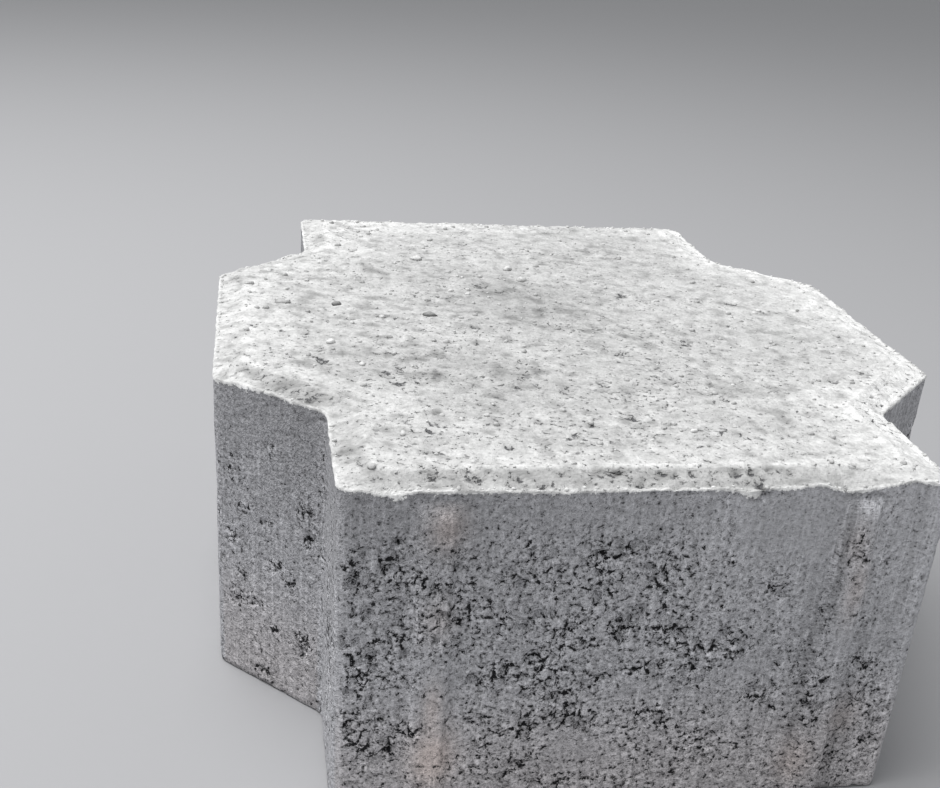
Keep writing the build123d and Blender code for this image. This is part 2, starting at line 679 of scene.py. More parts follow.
    def above_lip(self, points: Array) -> Array:
        """Height above the lip's ragged lower line, in millimetres.

        The line runs just under the arris. A broad noise and the named
        droops lower it.

        Args:
            points: places on the skin.

        Returns:
            Heights, one a row.
        """
        mm = points / MM
        flat = mm * (1, 1, 0)
        ragged = 0.3 * self.noise.fractal(flat, 9) + 0.7 * rise(self.noise(flat + 4.4, 17), 0.35, 0.9)
        line = (self.arris - self.wall_start) / MM + self.arris_wave(points)
        return mm[:, 2] - line + ragged + shares(LIP_DROOPS, mm)

    def openness(self, skin: Skin) -> Array:
        """How open the skin is, from 0, closed paste, to 1.

        Walls: nearly closed under the arris, then open in patches, and
        closed again at the upright corners. The -Y end and the flank beside
        it have the named nests, the other sides more patches. Wearing face
        and bevel: slightly open, in patches, with the named patches.

        Args:
            skin: vertices of the smooth stone.

        Returns:
            Shares, one a row.
        """
        noise, mm = self.noise, skin.mm
        x, y, z = mm.T
        facing = skin.outward[:, 1]
        opening = 0.36 + 0.64 * rise(self.arris / MM - z + 6 * noise.fractal(mm, 14), 5, 20)
        patches = 0.40 + 0.40 * rise(noise.fractal(mm * (1, 1, 1.5) + 0.3, 15), -0.5, 0.5)
        turned = 0.55 + 0.45 * rise(np.abs(facing), 0.75, 0.95)
        right, high = rise(x, 5, 40), rise(z, 25, 50)
        closed = 0.2 * right + (0.16 * right + 0.4 * rise(x, 54, 66)) * high
        closed = closed * (facing < -0.85)
        named = (facing < -0.6) & (x < 80)
        flank = named & (facing > -0.85)
        more = rise(noise.fractal(mm * (1, 1, 1.4) + 7.3, 13), 0.0, 0.5)
        more = more * np.where(facing > 0.85, 0.45, 0.8) * ~named
        wall = opening * (patches + more) * (turned - 0.13 * flank) * (1 - closed)
        wall = wall + (0.40 + 0.12 * flank) * shares(VOID_NESTS, mm)
        wall = wall * (1 - 0.9 * self.corner_strip(skin.points)) * (1 - 0.35 * self.stain(skin))
        face = 0.20 + 0.34 * noise.fractal(mm + 6.1, 18, 4) + 0.12 * rise(-y, 0, 90) - 0.14 * rise(x, 15, 70)
        bevel = 0.24 + 0.15 * noise.fractal(mm + 6.1, 20) + shares(BEVEL_PATCHES, mm)
        bevel = bevel * rise(self.inside(skin.points), 0.6, 2.2)
        return np.clip(skin.pick(face, bevel, wall, self.plain_openness), 0, 1)

    def corner_strip(self, points: Array) -> Array:
        """1 on the smooth paste strips at the four upright end corners, which the sides' tint also paints
        lighter as a highlight.

        Args:
            points: places, one row each.

        Returns:
            Shares, one a row.
        """
        plan = self.outline
        beyond = np.abs(points[:, :2]) - (plan.half_middle - plan.shoulder_step, plan.half_length)
        reach = beyond.sum(axis=1) / MM + 0.8 * self.noise(points / MM, 5)
        return rise(reach, -3.4, -1.8) * (self.above_lip(points) < 0.2)

    def wall_tint(self, skin: Skin) -> Array:
        """Light and dark drift of the sides, about -1 to 1.

        Clouds drawn out upright, pale nib tops, a paler and a darker side of the
        -Y end, and painted light and shade: a highlight on the corner strips, which
        are also smooth paste, shade in lines beside its +X nib with light on the
        nib's crest lower down, light over the -Y end and towards the bottom, and
        shade at the foot.

        Args:
            skin: vertices of the smooth stone.

        Returns:
            Drifts, one a row.
        """
        noise, mm = self.noise, skin.mm
        x, _, z = mm.T
        facing = skin.outward[:, 1]
        nib = self.nib_flat(skin)
        nib_top = rise(z, 89, 91) * (1 - rise(z, 93.5, 94.5)) * nib * (0.2 + 0.9 * rise(x, 51, 53.5))
        cloud = 0.35 * noise.fractal(mm * (1, 1, 0.45) + 2.2, 30, 4) - 0.15
        # The corner strips are painted lighter: smooth paste, and a painted highlight on the rounded corners.
        wall = cloud + nib_top + (0.9 - 0.6 * rise(x, 0, 60)) * self.corner_strip(skin.points)
        # Its last term paints the sides lighter towards the bottom, up to 0.3: painted light.
        wall = wall + rise(z, 40, 95) * (0.9 * rise(x, -90, 60) - 0.45) + 0.3 * (1 - z / 100) ** 1.5
        # Painted shade down the slope left of the +X nib, weaker and further left lower down, and lower down
        # right of it too, with painted light on the nib lower down and a paler band towards the corner.
        low = rise(-z, -66, -50)
        left = (1.7 - 0.7 * low) * bell(x, 50.2 - 2.3 * low, 1.7 + 0.3 * low)
        right = 0.6 * low * bell(x, 62.2, 1.5)
        pale = 0.2 * low * nib + (0.1 + 0.4 * bell(x, 74, 2.2)) * rise(x, 66, 72)
        beside = (left + right) * (0.8 + 0.5 * noise(mm, 14)) - pale
        # Its last term paints the lowest 2 mm of the sides darker: painted shade at the foot.
        wall = wall - beside * (facing < -0.6) - 0.9 * rise(-z, -2.2, -0.6)
        # The -Y end is painted up to 0.38 lighter, save low towards its +X side: painted light.
        corner = rise(x, 30, 60) * rise(-z, -50, -25)
        wall = wall + 0.38 * rise(-facing, 0.8, 0.95) * (1 - corner)
        return wall + 0.45 * rise(x, 20, 50) * noise(mm * (1, 1, 0.1) + 5.1, 7)

    def top_tint(self, skin: Skin) -> Array:
        """Light and dark drift of the wearing face and bevel, about -1 to 1.

        Clouds and marks, a painted highlight along the crease ridge, a lip
        pale with dust and with painted light, and a darker bevel, which
        is worn pale on the +X side and on the -X waist.

        Args:
            skin: vertices of the smooth stone.

        Returns:
            Drifts, one a row.
        """
        noise, mm = self.noise, skin.mm
        x, y, _ = mm.T
        inside = self.inside(skin.points)
        marks = 0.42 * noise.fractal(mm + 9.1, 9, 3) - 0.9 * rise(noise(mm + 1.9, 4.5), 0.22, 0.6)
        marks = marks - 0.7 * rise(noise(mm + 4.9, 8), 0.3, 0.65)
        face = 0.35 * noise.fractal(mm + 3.1, 34, 4) + marks * (1 + 0.15 * rise(-x, -10, 60)) - 0.05
        face = face + 0.65 * rise(inside, 32, 6) + shares(FACE_TONES, mm)
        # The crease ridge is painted lighter: a painted highlight on the ridge.
        ridge = bell(inside, 9.8, 1.1) * (0.55 + 0.7 * noise(mm, 9))
        strength = np.clip(0.45 + 1.2 * noise(mm + 7.7, 6), 0, 1.2)
        # The lip is painted lighter: pale dust on the burr, and painted light on the bead.
        lip = rise(inside + 0.4 * noise(mm, 3), 0.9, 0.1) * strength
        bevel = rise(inside, 0.5, 1.4) * (1 - rise(inside + 0.5 * noise(mm, 5), 7.8, 9.0))
        front = rise(-y, 108, 111) * (0.45 + 0.55 * rise(x, -76, -50)) * (1.1 - 0.55 * rise(x, 42, 64))
        worn = 0.85 * rise(x, 60, 80) + 0.8 * rise(x, 66, 80) * rise(y, 36, 50)
        worn = worn - rise(-x, 60, 74) * (0.35 + 0.2 * rise(np.abs(y), 70, 84))
        dull = 0.3 * noise(mm, 12) + front + 0.7 * shares(BEVEL_PATCHES, mm) - (1 - rise(-y, 104, 110)) * worn
        return face + 0.6 * ridge + 1.1 * lip - bevel * dull

    def stain(self, skin: Skin) -> Array:
        """Warm mould stain in patches down the spacer nibs, from 0 to 1.

        Args:
            skin: vertices of the smooth stone.

        Returns:
            Shares, one a row.
        """
        mm = skin.mm
        _, y, z = mm.T
        patch = 0.7 * rise(self.noise.fractal(mm * (1, 1, 0.45) + 8.8, 13), 0.1, 0.6) * (y > 0)
        patch = patch * self.nib_flat(skin) + shares(STAINS, mm) + 0.25 * rise(-z, -50, -5)
        return np.clip(patch * (np.abs(skin.outward[:, 1]) > 0.6) * (1 - rise(z, 93, 96)), 0, 1)

    def relief(self, skin: Skin, openness: Numbers) -> tuple[Array, Array]:
        """How far each vertex moves along its outward direction.

        Walls: a slow wave, upright drag lines, a grain that grows with the
        openness, voids and chips. Wearing face: a slow wave, lumps, sand
        and pits, and a ridge along the crease. Bevel: the same, with a
        ragged lip. Bed: grain.

        Args:
            skin: vertices of the smooth stone.
            openness: openness of each vertex.

        Returns:
            Distances in metres, and how dark the painted shade in each vertex's hollow is.
        """
        noise, mm = self.noise, skin.mm
        wave = noise.fractal(mm, self.wave_size, 2)
        lumps = noise.fractal(mm + 5.5, self.lump_size, 2)
        grain = noise.fractal(mm + 0.7, self.grain_size, 2)
        drag = noise(mm * (1, 1, 0.04), self.drag_size)
        bent = mm + 0.9 * np.stack([noise(mm + shift, 3) for shift in (1.1, 2.2, 3.3)], axis=1)
        big = noise.hollows(bent * (1, 1, 1.5), self.big_void_size, rise(openness, 0.35, 1.1) * 0.6)
        small = noise.hollows(bent * (1, 1, 1.3) + 0.5, self.small_void_size, openness * 0.5)
        chips = shares(WALL_CHIPS, mm)
        below = rise(self.above_lip(skin.points), 0.35, -0.35)
        wall = wave * 0.2 + drag * 0.06 + lumps * 0.4 * openness + grain * (0.05 + 0.3 * openness)
        wall = wall - self.big_void * big - self.small_void * small - chips
        wall = wall - below * self.wall_sink - (1 - below) * 0.1
        placed = shares(FACE_PITS, bent)
        pits = noise.hollows(bent + 0.9, self.pit_size, 0.06 + 0.5 * openness) * 0.7
        inside = self.inside(skin.points)
        ridge = bell(inside, 9.4, 1.2) * (0.7 + 0.5 * noise(mm, 8)) - 0.25 * rise(inside, 9.2, 7.4)
        face = wave * 0.18 + lumps * 0.22 + grain * 0.2 - pits - placed + ridge * self.ridge_height
        lip = (0.35 * noise(mm + 0.2, 6) + 0.45 * noise(mm + 1.2, 2.3)) * rise(inside, 3.0, 0.8)
        lip = lip - 0.14 * rise(inside, 3.5, 6.8)
        bevel = grain * 0.14 + lumps * 0.12 + lip - pits * 0.7 - placed
        bed = wave * 0.1 + grain * 0.1 - 0.25
        # Pits, voids and chips get painted shade in their hollows.
        dark = pits + self.darkest_painted_shade * placed
        hollow = skin.pick(dark, dark, np.maximum(big, 0.5 * small) + self.darkest_painted_shade * chips, 0.0)
        return skin.pick(face, bevel, wall, bed) * MM, np.clip(hollow, 0, self.darkest_painted_shade)

    def build(self) -> bpy.types.Object:
        """Makes the stone's mesh, with its finish kept as attributes.

        Returns:
            The stone, as one closed mesh.
        """
        points, faces, region = self.skin()
        points = self.waved(points, region)
        skin = Skin(points, self.normals(points, faces), region)
        openness = self.openness(skin)
        below_top = np.clip((self.nib_top - points[:, 2]) / self.nib_slope, 0, 1)
        nib = self.nib_height * np.minimum(self.nib_flat(skin), below_top)
        step, hollow = self.relief(skin, openness)
        moved = points + skin.outward * (nib + step)[:, None]
        low = np.array([-self.outline.half_middle, -self.outline.half_length - self.nib_height, 0])
        moved = np.clip(moved, low, -low + (0, 0, self.height))
        is_wall, above_lip = region == Region.WALL, self.above_lip(points)
        # Each hollow's painted shade lowers the tint and opens the grain, whose gaps take the dark gap
        # colour.
        opened = np.where(is_wall, self.opened_side, self.opened_top)
        tint = np.where(is_wall & (above_lip < 0), self.wall_tint(skin), self.top_tint(skin))
        return make_piece(
            "stone_cast", moved, faces,
            openness=np.clip(openness + opened * hollow, 0, 1),
            tint=tint - self.hollow_painted_shade * hollow,
            lip=np.where(is_wall, above_lip, self.OFF_WALL),
            stain=self.stain(skin),
        )

    def level_skin(self, across: Array, level: float, region: Region) -> Skin:
        """Level skin at places (x, y) and one height, facing up."""
        points = np.column_stack([across, np.full(len(across), level)])
        return Skin(points, np.broadcast_to((0.0, 0.0, 1.0), points.shape), np.full(len(points), region))

    def face_height(self, across: Array) -> Array:
        """Height of the finished wearing face at places (x, y)."""
        skin = self.level_skin(across, self.face_level, Region.FACE)
        return self.face_level + self.relief(skin, self.openness(skin))[0]

    def rim_height(self, across: Array, inset: float) -> Array:
        """Height of the finished lip at places at one inset.

        Args:
            across: places (x, y), one row each.
            inset: how far they lie inside the side.

        Returns:
            Heights, one a row.
        """
        level = float(self.bevel_height(np.array([inset]))[0])
        skin = self.level_skin(across, level, Region.BEVEL)
        step = self.relief(skin, np.full(len(across), self.plain_openness))[0]
        return level + step + self.arris_wave(skin.points) * MM


@dataclass
class LooseGrit:
    """Crumbs and coarse sand stuck to the wearing face.

    Each is a ball of rings, flattened, turned and made uneven by noise, and
    set into the face by a part of its height.
    """

    casting: Casting
    seed: int = 5
    around: int = 8
    rows: int = 4
    sand_count: int = 620
    tries: int = 3
    sand_tint: tuple[float, float] = (-0.3, 0.9)
    lip_count: int = 320
    lip_tint: tuple[float, float] = (0.4, 1.2)
    lip_inset: float = 1.15 * MM
    # Lengths, the way from the plan's edge to the sand, the greatest height,
    # the width of a bump and the way between two grains' bumps in the noise,
    # in millimetres.
    sand_length: tuple[float, float] = (0.8, 2.4)
    lip_length: tuple[float, float] = (0.7, 1.7)
    margin: float = 9.0
    tallest: float = 2.0
    bump_size: float = 1.5
    bump_step: float = 20.0
    # Width and height as shares of the length, and how far a grain stands up
    # as a share of half its height.
    widths: tuple[float, float] = (0.6, 0.95)
    flatness: float = 0.62
    raised: float = 0.1
    unevenness: float = 0.5
    openness: float = 0.1
    # How dark the painted shade at the foot of a crumb, of the sand and of the lip's sand is, and
    # the heights on the unit ball between which that painted shade begins.
    shades: Triple = (2.0, 1.4, 0.4)
    foot: tuple[float, float] = (-0.65, 0.15)
    # Place of each crumb on the face, its length in millimetres, and its
    # tint from dark to pale.
    crumbs: tuple[tuple[float, float, float, float], ...] = (
        (-38.2, 62.4, 4.6, 1.3), (-6.2, 52.3, 4.2, 1.0), (-3.9, 39.0, 4.8, 1.3), (-87.9, 12.6, 5.6, -0.5),
        (-70.4, 10.5, 3.8, -1.6), (-41.4, 1.0, 4.6, -1.5), (-74.4, -24.4, 3.4, 1.2), (17.7, -88.5, 2.6, 1.0),
        (-98.0, 30.0, 3.0, 0.0), (-66.0, 78.0, 3.0, 0.2), (-30.0, 88.0, 2.8, 0.5), (60.0, 40.0, 2.8, 0.4),
        (-60.0, -90.0, 2.4, 0.7), (40.0, 70.0, 2.6, 0.2),
    )

    def ball(self) -> tuple[Array, Array]:
        """Unit ball: rings between two poles, each pole one vertex.

        Returns:
            Its vertices and its triangles.
        """
        up = np.radians(np.linspace(90, -90, self.rows + 2)[1:-1])
        turn = np.radians(np.arange(self.around) * 360 / self.around)
        up, turn = np.meshgrid(up, turn, indexing="ij")
        rings = np.stack([np.cos(up) * np.cos(turn), np.cos(up) * np.sin(turn), np.sin(up)], axis=2)
        points = np.concatenate([rings.reshape(-1, 3), [(0, 0, 1), (0, 0, -1)]])
        here = np.arange(up.size).reshape(up.shape)
        side = np.roll(here, -1, axis=1)
        a, b, c, d = here[:-1], here[1:], side[1:], side[:-1]
        top, foot = np.full_like(here[0], up.size), np.full_like(here[0], up.size + 1)
        corners = [(a, b, c), (a, c, d), (top, here[0], side[0]), (foot, side[-1], here[-1])]
        return points, np.concatenate([np.stack(three, axis=-1).reshape(-1, 3) for three in corners])

    def build(self) -> bpy.types.Object:
        """Makes all the grit as one mesh.

        The named crumbs come first, then sand spread over the wearing face,
        then sand along the lip.

        Returns:
            The grit.
        """
        rng = np.random.default_rng(self.seed)
        casting, plan = self.casting, self.casting.outline
        spread = rng.uniform(-1, 1, (self.sand_count * self.tries, 2)) * (plan.half_middle, plan.half_length)
        spread = spread[casting.inside(spread) > self.margin][: self.sand_count]
        line = plan.loop(self.lip_inset)
        step, part = rng.integers(0, len(line), self.lip_count), rng.random((self.lip_count, 1))
        rim = line[step] * (1 - part) + np.roll(line, -1, axis=0)[step] * part
        crumbs = np.array(self.crumbs)
        where = np.concatenate([crumbs[:, :2] * MM, spread, rim])
        counts = [len(crumbs), len(spread), len(rim)]
        count = sum(counts)
        lengths, tints = (self.sand_length, self.lip_length), (self.sand_tint, self.lip_tint)
        lengths = [low + (high - low) * rng.random(n) ** 3 for (low, high), n in zip(lengths, counts[1:])]
        tints = [rng.uniform(*limits, n) for limits, n in zip(tints, counts[1:])]
        length, tint = np.concatenate([crumbs[:, 2], *lengths]), np.concatenate([crumbs[:, 3], *tints])
        width = length * rng.uniform(*self.widths, count)
        shape = np.column_stack([length, width, np.minimum(length * self.flatness, self.tallest)]) / 2
        turn = rng.uniform(0, 2 * math.pi, (count, 1))
        ball, faces = self.ball()
        sized = ball * shape[:, None]
        x = sized[..., 0] * np.cos(turn) - sized[..., 1] * np.sin(turn)
        y = sized[..., 0] * np.sin(turn) + sized[..., 1] * np.cos(turn)
        points = np.stack([x, y, sized[..., 2]], axis=2)
        apart = points + self.bump_step * np.arange(count)[:, None, None]
        bumps = casting.noise(apart.reshape(-1, 3), self.bump_size).reshape(count, -1, 1)
        points *= 1 + self.unevenness * bumps
        ground = [casting.face_height(where[: -len(rim)]), casting.rim_height(rim, self.lip_inset)]
        base = np.concatenate(ground) / MM + shape[:, 2] * self.raised
        points += np.column_stack([where / MM, base])[:, None]
        points[..., 2] = np.minimum(points[..., 2], casting.height / MM)
        # Each grain's lower part gets painted shade.
        shade = np.repeat(self.shades, counts)[:, None] * rise(-ball[:, 2], *self.foot)
        return make_piece(
            "loose_grit",
            points.reshape(-1, 3) * MM,
            [(faces + (np.arange(count) * len(ball))[:, None, None]).reshape(-1, 3)],
            openness=self.openness,
            tint=(tint[:, None] - shade).ravel(),
            lip=casting.OFF_WALL,
            stain=0.0,
        )


def make_piece(name: str, points: Array, faces: list[Array], **finish: Numbers) -> bpy.types.Object:
    """Makes a smooth-shaded piece at the origin.

    Args:
        name: name of the piece.
        points: places of its vertices.
        faces: arrays of quads and of triangles.
        finish: numbers kept at the vertices, for the material to read.

    Returns:
        The piece.
    """
    mesh = bpy.data.meshes.new(name)
    mesh.from_pydata(points.tolist(), [], [face for group in faces for face in group.tolist()])
    mesh.shade_smooth()
    for key, numbers in finish.items():
        values = np.broadcast_to(numbers, len(points)).astype(np.float32)
        mesh.attributes.new(key, "FLOAT", "POINT").data.foreach_set("value", values)
    return place(mesh)


def place(data: bpy.types.ID) -> bpy.types.Object:
    """Puts a mesh, camera or lamp into the scene, at the origin.

    Args:
        data: the mesh, camera or lamp.

    Returns:
        Its object.
    """
    made = bpy.data.objects.new(data.name, data)
    bpy.context.scene.collection.objects.link(made)
    return made


# Nodes


class Wiring:
    """Adds nodes to one tree and joins them, so a recipe reads as sums.

    A Mix node takes its numbers at inputs 2 and 3, its colours at 6 and 7.
    """

    def __init__(self, tree: bpy.types.NodeTree) -> None:
        """Starts on a node tree."""
        self.tree = tree

    def node(self, kind: str, entries: dict[str | int, Value], **settings: object) -> bpy.types.Node:
        """Adds a node, sets its options and fills its inputs.

        Args:
            kind: the node's type name, without ShaderNode.
            entries: outputs or plain values, by the input's name or number.
            settings: properties of the node.

        Returns:
            The node.
        """
        made = self.tree.nodes.new("ShaderNode" + kind)
        for name, value in settings.items():
            setattr(made, name, value)
        for key, entry in entries.items():
            self.feed(made.inputs[key], entry)
        return made

    def feed(self, socket: Socket, value: Value) -> None:
        """Links a socket to an output, or sets its plain value.

        Args:
            socket: the input.
            value: the output or the plain value.
        """
        if isinstance(value, Socket):
            self.tree.links.new(value, socket)
        else:
            socket.default_value = value

    def math(self, operation: str, first: Value, second: Value, clamp: bool = False) -> Socket:
        """One sum on two numbers, held between 0 and 1 if clamped."""
        return self.node("Math", {0: first, 1: second}, operation=operation, use_clamp=clamp).outputs[0]

    def total(self, *terms: tuple[Value, float]) -> Socket:
        """Weighted sum of numbers.

        Args:
            terms: pairs of a number and its plain weight.

        Returns:
            The sum.
        """
        answer: Value = 0.0
        for value, weight in terms:
            answer = self.node("Math", {0: value, 1: weight, 2: answer}, operation="MULTIPLY_ADD").outputs[0]
        return answer

    def swing(self, value: Value, factor: float = 1.0) -> Socket:
        """A number that lies round 0.5, moved to lie round 0 and scaled."""
        return self.math("MULTIPLY", self.math("SUBTRACT", value, 0.5), factor)

    def vector(self, operation: str, first: Value, second: Value) -> Socket:
        """One sum on two vectors, or SCALE of a vector by a number."""
        key = "Scale" if operation == "SCALE" else 1
        return self.node("VectorMath", {0: first, key: second}, operation=operation).outputs[0]

    def noise(self, vector: Value, size: float, detail: float, rough: float) -> Socket:
        """Noise round 0.5, with blots of a size, octaves and their strength."""
        entries = {"Vector": vector, "Scale": 1.0 / size, "Detail": detail, "Roughness": rough}
        return self.node("TexNoise", entries, noise_dimensions="3D").outputs["Fac"]

    def cells(self, vector: Value, size: float, feature: str) -> Socket:
        """Distance in a pattern of cells of a size, in cell widths."""
        entries = {"Vector": vector, "Scale": 1.0 / size}
        return self.node("TexVoronoi", entries, feature=feature).outputs["Distance"]

    def between(
        self, value: Value, low: Value, high: Value, at_low: Value = 0.0, at_high: Value = 1.0
    ) -> Socket:
        """Eased step of a value, between its answers at two limits."""
        entries = {"Value": value, "From Min": low, "From Max": high, "To Min": at_low, "To Max": at_high}
        return self.node("MapRange", entries, interpolation_type="SMOOTHSTEP").outputs[0]

    def mix(self, share: Value, first: Value, second: Value) -> Socket:
        """Mixes two colours, from the first at 0 to the second at 1."""
        return self.node("Mix", {0: share, 6: first, 7: second}, data_type="RGBA").outputs[2]

    def lerp(self, share: Value, first: Value, second: Value) -> Socket:
        """Mixes two numbers, from the first at 0 to the second at 1."""
        return self.node("Mix", {0: share, 2: first, 3: second}, data_type="FLOAT").outputs[0]

    def attribute(self, name: str) -> Socket:
        """A number kept at the mesh's vertices."""
        return self.node("Attribute", {}, attribute_name=name).outputs["Fac"]


class Group:
    """A node group with named number inputs and outputs, built once."""

    def __init__(self, name: str, inputs: tuple[str, ...], outputs: tuple[str, ...]) -> None:
        """Makes the group's sockets. An input named Place is a vector.

        Args:
            name: name of the group.
            inputs: names of its inputs.
            outputs: names of its outputs.
        """
        self.tree = bpy.data.node_groups.new(name, "ShaderNodeTree")
        for in_out, names in (("INPUT", inputs), ("OUTPUT", outputs)):
            for entry in names:
                kind = "NodeSocketVector" if entry == "Place" else "NodeSocketFloat"
                self.tree.interface.new_socket(entry, in_out=in_out, socket_type=kind)
        self.wiring = Wiring(self.tree)
        self.given = self.tree.nodes.new("NodeGroupInput").outputs
        self.answers = self.tree.nodes.new("NodeGroupOutput").inputs

    def give(self, **values: Value) -> None:
        """Links the group's outputs, by their names."""
        for name, value in values.items():
            self.wiring.feed(self.answers[name], value)

    def put(self, wiring: Wiring, **values: Value) -> bpy.types.NodeOutputs:
        """Places the group in another tree and fills its inputs, by their names."""
        return wiring.node("Group", values, node_tree=self.tree).outputs


class SandGrain(Group):
    """Fine sand in cement paste: a Tone round 0.5 and a Height in mm."""

    width: float = 0.9

    def __init__(self) -> None:
        """Gives one rough noise as both."""
        super().__init__("sand grain", ("Place",), ("Tone", "Height"))
        grain = self.wiring.noise(self.given["Place"], self.width, 1.5, 0.75)
        self.give(Tone=grain, Height=self.wiring.swing(grain, 0.9))


class OpenGrain(Group):
    """Lumps of dry mix with gaps between them, which the material paints dark as painted shade.

    A rough noise is raised inside the cells of a bent cell pattern. Where
    the sum is under a limit there is a gap, so gaps are ragged, mostly lie
    along the cells' borders, and join into chains as the limit rises.
    """

    lump: float = 1.6
    cell: float = 3.4
    cap: float = 0.26
    bend: Triple = (4.2, -3.8, 4.0)
    limits: tuple[float, float] = (0.42, 0.74)

    def __init__(self) -> None:
        """Gives a Gap mask, the Rim round it for a painted highlight, the Height and the rough noise."""
        super().__init__("open grain", ("Place", "Openness"), ("Gap", "Rim", "Height", "Rough"))
        w, where, openness = self.wiring, self.given["Place"], self.given["Openness"]
        rough = w.noise(where, self.lump, 3.0, 0.7)
        bent = w.vector("ADD", where, w.vector("SCALE", self.bend, w.swing(rough)))
        inside = w.math("MINIMUM", w.cells(bent, self.cell, "DISTANCE_TO_EDGE"), self.cap)
        under = w.math("SUBTRACT", w.total((rough, 1.3), (inside, 1.2)), w.lerp(openness, *self.limits))
        crown = w.math("MULTIPLY", w.math("MULTIPLY", inside, 3.0), openness)
        pit = w.between(under, -0.06, 0.06, -1.0, 0.0)
        gap, rim = w.between(under, -0.04, 0.02, 1.0, 0.0), w.between(under, 0.02, 0.1, 1.0, 0.0)
        self.give(Gap=gap, Rim=rim, Height=w.total((rough, 1.6), (crown, 1.0), (pit, 1.6)), Rough=rough)


class DragLines(Group):
    """Upright lines that the mould drew down the sides."""

    width: float = 1.3
    upright: Triple = (1.0, 1.0, 0.03)

    def __init__(self) -> None:
        """Gives a Tone round 0.5 and a Height in mm."""
        super().__init__("drag lines", ("Place",), ("Tone", "Height"))
        w = self.wiring
        drawn = w.noise(w.vector("MULTIPLY", self.given["Place"], self.upright), self.width, 2.0, 0.7)
        self.give(Tone=drawn, Height=w.swing(drawn, 0.30))


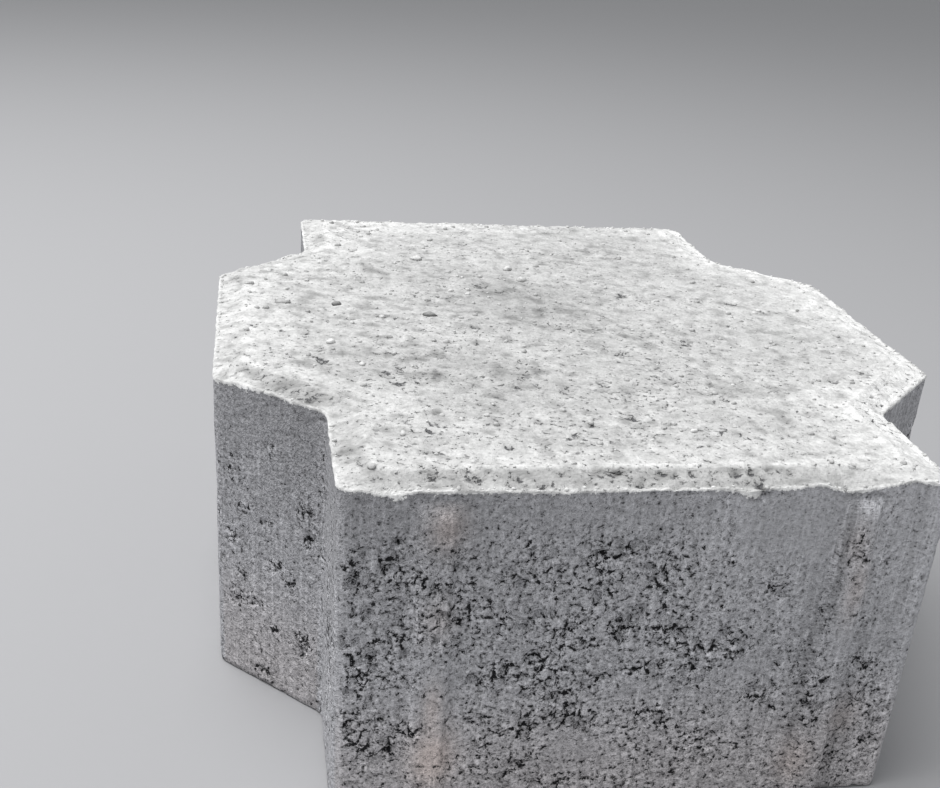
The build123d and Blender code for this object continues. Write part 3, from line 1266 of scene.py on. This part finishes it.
@dataclass(frozen=True)
class PressedConcrete:
    """Finish of the stone: a pale sandy face over darker open sides, with painted shade in its gaps."""

    side: Triple = (0.458, 0.458, 0.478)
    # The gap colours are painted shade inside voids, pits and specks.
    side_gap_painted_shade: Triple = (0.012, 0.012, 0.014)
    face: Triple = (0.534, 0.533, 0.528)
    face_gap_painted_shade: Triple = (0.130, 0.130, 0.135)
    stain: Triple = (0.610, 0.535, 0.510)
    side_roughness: float = 0.80
    face_roughness: float = 0.92
    specular: float = 0.3
    face_relief: float = 0.33
    blot_size: float = 3.6
    dot_size: float = 4.4

    def material(self) -> bpy.types.Material:
        """Builds the material, side below the lip and face above it.

        Returns:
            The material.
        """
        made = bpy.data.materials.new("pressed_concrete")
        made.use_nodes = True
        made.node_tree.nodes.clear()
        w = Wiring(made.node_tree)
        where = w.vector("SCALE", w.node("TexCoord", {}).outputs["Object"], 1 / MM)
        openness, tint, lip = w.attribute("openness"), w.attribute("tint"), w.attribute("lip")
        lumps = OpenGrain().put(w, Place=where, Openness=openness)
        sand = SandGrain().put(w, Place=where)
        drag = DragLines().put(w, Place=where)
        ragged = w.total((lip, 1.0), (lumps["Rough"], 4.4), (sand["Tone"], 2.4), (1.0, -3.4))
        on_face = w.between(ragged, -0.06, 0.08)
        low, high = w.lerp(openness, 0.27, 0.39), w.lerp(openness, 0.34, 0.43)
        speck = w.between(sand["Tone"], low, high, 0.6, 0.0)
        sand_tone, rough_tone, drag_tone = (w.swing(v) for v in (sand["Tone"], lumps["Rough"], drag["Tone"]))
        blots = w.swing(w.noise(where, self.blot_size, 2.0, 0.6))
        dots = w.total((w.cells(where, self.dot_size, "F1"), 1.0), (rough_tone, 2.0), (openness, -0.35))
        dots = w.between(dots, -0.08, 0.04, 0.55, 0.0)
        # The gap mask, from the lumps' gaps and the specks and dots, takes the gap colour as painted shade.
        gap = w.math("MAXIMUM", lumps["Gap"], w.lerp(on_face, speck, dots))
        # The lumps' and the sand's tones, stronger where open, follow their bump heights: painted shade in
        # the lows and painted light on the raised grain, partly also the grain's own tone.
        lump_relief_shading = w.math("MULTIPLY", rough_tone, w.lerp(openness, 0.9, 2.8))
        streak = w.between(drag["Tone"], 0.58, 0.74, 0.0, 0.22)
        sand_relief_shading = w.math("MULTIPLY", sand_tone, w.lerp(openness, 0.8, 2.7))
        # Rim paints a highlight on the edges round each gap.
        marks = ((drag_tone, 0.7), (streak, 1.0), (openness, 0.22), (lumps["Rim"], 0.60), (1.0, 0.98))
        side_tone = w.total((sand_relief_shading, 1.0), (lump_relief_shading, 1.0), *marks)
        side_tone = w.math("MULTIPLY", side_tone, w.total((tint, 0.35), (1.0, 1.0)))
        side_colour = w.mix(w.attribute("stain"), (*self.side, 1.0), (*self.stain, 1.0))
        side_colour = w.mix(gap, w.vector("SCALE", side_colour, side_tone), (*self.side_gap_painted_shade, 1.0))
        # The face's sand and lump tones also follow the bump heights: painted shade in the lows and painted
        # light on the raised grain, partly the grain's own tone.
        face_tone = w.total((sand_tone, 0.38), (rough_tone, 0.55), (blots, 0.9), (1.0, 0.99))
        # Face colour on the side just under the arris is painted up to 55% lighter, as painted light on the
        # lip where the side is in shade.
        hang_painted_light = w.between(lip, 1.0, 3.0, 0.55, 0.0)
        face_tone = w.math("MULTIPLY", face_tone, w.total((tint, 0.30), (hang_painted_light, 1.0), (1.0, 1.0)))
        face_gap_painted_shade = w.math("MULTIPLY", gap, w.lerp(openness, 0.6, 1.4), clamp=True)
        face_colour = w.mix(face_gap_painted_shade, w.vector("SCALE", self.face, face_tone), (*self.face_gap_painted_shade, 1.0))
        height = w.total((lumps["Height"], 1.0), (sand["Height"], 1.0))
        height = w.math("MULTIPLY", height, w.lerp(on_face, 1.0, self.face_relief))
        drawn = w.math("MULTIPLY", drag["Height"], w.math("SUBTRACT", 1.0, on_face))
        bump = w.node("Bump", {"Strength": 1.0, "Distance": MM, "Height": w.math("ADD", height, drawn)})
        entries = {
            "Base Color": w.mix(on_face, side_colour, face_colour),
            "Roughness": w.lerp(on_face, self.side_roughness, self.face_roughness),
            "Specular IOR Level": self.specular,
            "Normal": bump.outputs[0],
        }
        w.node("OutputMaterial", {"Surface": w.node("BsdfPrincipled", entries).outputs[0]})
        return made


# Studio


@dataclass(frozen=True)
class PhotoCamera:
    """Camera at the photograph's place and angle."""

    place: Triple = (-0.0961, -0.3681, 0.2275)
    turned: float = 11.06
    tilted: float = -26.93
    rolled: float = 4.42
    lens: float = 46.72
    sensor: float = 36.0
    shift_up: float = 0.1
    clip: tuple[float, float] = (0.01, 50.0)

    def build(self) -> None:
        """Makes the camera and gives it to the scene.

        It looks along +Y, turned towards +X, tilted up or down, and then
        rolled about its own view line.
        """
        data = bpy.data.cameras.new("camera")
        data.lens, data.sensor_width, data.shift_y = self.lens, self.sensor, self.shift_up
        data.clip_start, data.clip_end = self.clip
        pose = Matrix.Translation(Vector(self.place))
        for angle, axis in ((-self.turned, "Z"), (90 + self.tilted, "X"), (self.rolled, "Z")):
            pose = pose @ Matrix.Rotation(math.radians(angle), 4, axis)
        camera = place(data)
        camera.matrix_world = pose
        bpy.context.scene.camera = camera


@dataclass(frozen=True)
class Studio:
    """Grey floor and soft light."""

    floor_size: float = 8.0
    floor_colour: Triple = (0.40, 0.40, 0.41)
    floor_roughness: float = 0.9
    sky_colour: Triple = (0.97, 0.985, 1.0)
    sky_strength: float = 0.48
    key_power: float = 22.5
    key_size: float = 1.2
    key_place: Triple = (-0.55, 0.12, 1.3)

    def build(self) -> None:
        """Makes the floor, the sky and the lamp."""
        half = self.floor_size / 2
        mesh = bpy.data.meshes.new("floor")
        corners = [(-half, -half, 0), (half, -half, 0), (half, half, 0), (-half, half, 0)]
        mesh.from_pydata(corners, [], [(0, 1, 2, 3)])
        floor = place(mesh)
        finish = bpy.data.materials.new("floor_paint")
        finish.use_nodes = True
        shader = finish.node_tree.nodes["Principled BSDF"]
        shader.inputs["Base Color"].default_value = (*self.floor_colour, 1.0)
        shader.inputs["Roughness"].default_value = self.floor_roughness
        mesh.materials.append(finish)
        world = bpy.data.worlds.new("sky")
        world.use_nodes = True
        back = world.node_tree.nodes["Background"]
        back.inputs["Color"].default_value = (*self.sky_colour, 1.0)
        back.inputs["Strength"].default_value = self.sky_strength
        bpy.context.scene.world = world
        data = bpy.data.lights.new("key_light", "AREA")
        data.energy, data.size = self.key_power, self.key_size
        lamp = place(data)
        lamp.location = self.key_place
        lamp.rotation_euler = (-Vector(self.key_place)).to_track_quat("-Z", "Y").to_euler()
        bpy.context.scene.view_settings.view_transform = "Standard"


# Scene


def dress() -> None:
    """Builds the stone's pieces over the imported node."""
    _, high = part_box("paving_stone")
    plan = Outline(half_length=high.y - Casting.nib_height, half_middle=high.x)
    casting = Casting(plan, height=high.z)
    finish = PressedConcrete().material()
    stone, grit = casting.build(), LooseGrit(casting).build()
    for piece in (stone, grit):
        piece.data.materials.append(finish)
        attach(piece, "root")
        LOG.info("%s: %d vertices, %d faces", piece.name, len(piece.data.vertices), len(piece.data.polygons))
    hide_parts("paving_stone")


def main() -> None:
    """Builds the scene in order."""
    logging.basicConfig(level=logging.INFO, format="%(name)s: %(message)s")
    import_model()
    dress()
    Studio().build()
    PhotoCamera().build()


if __name__ == "__main__":
    main()
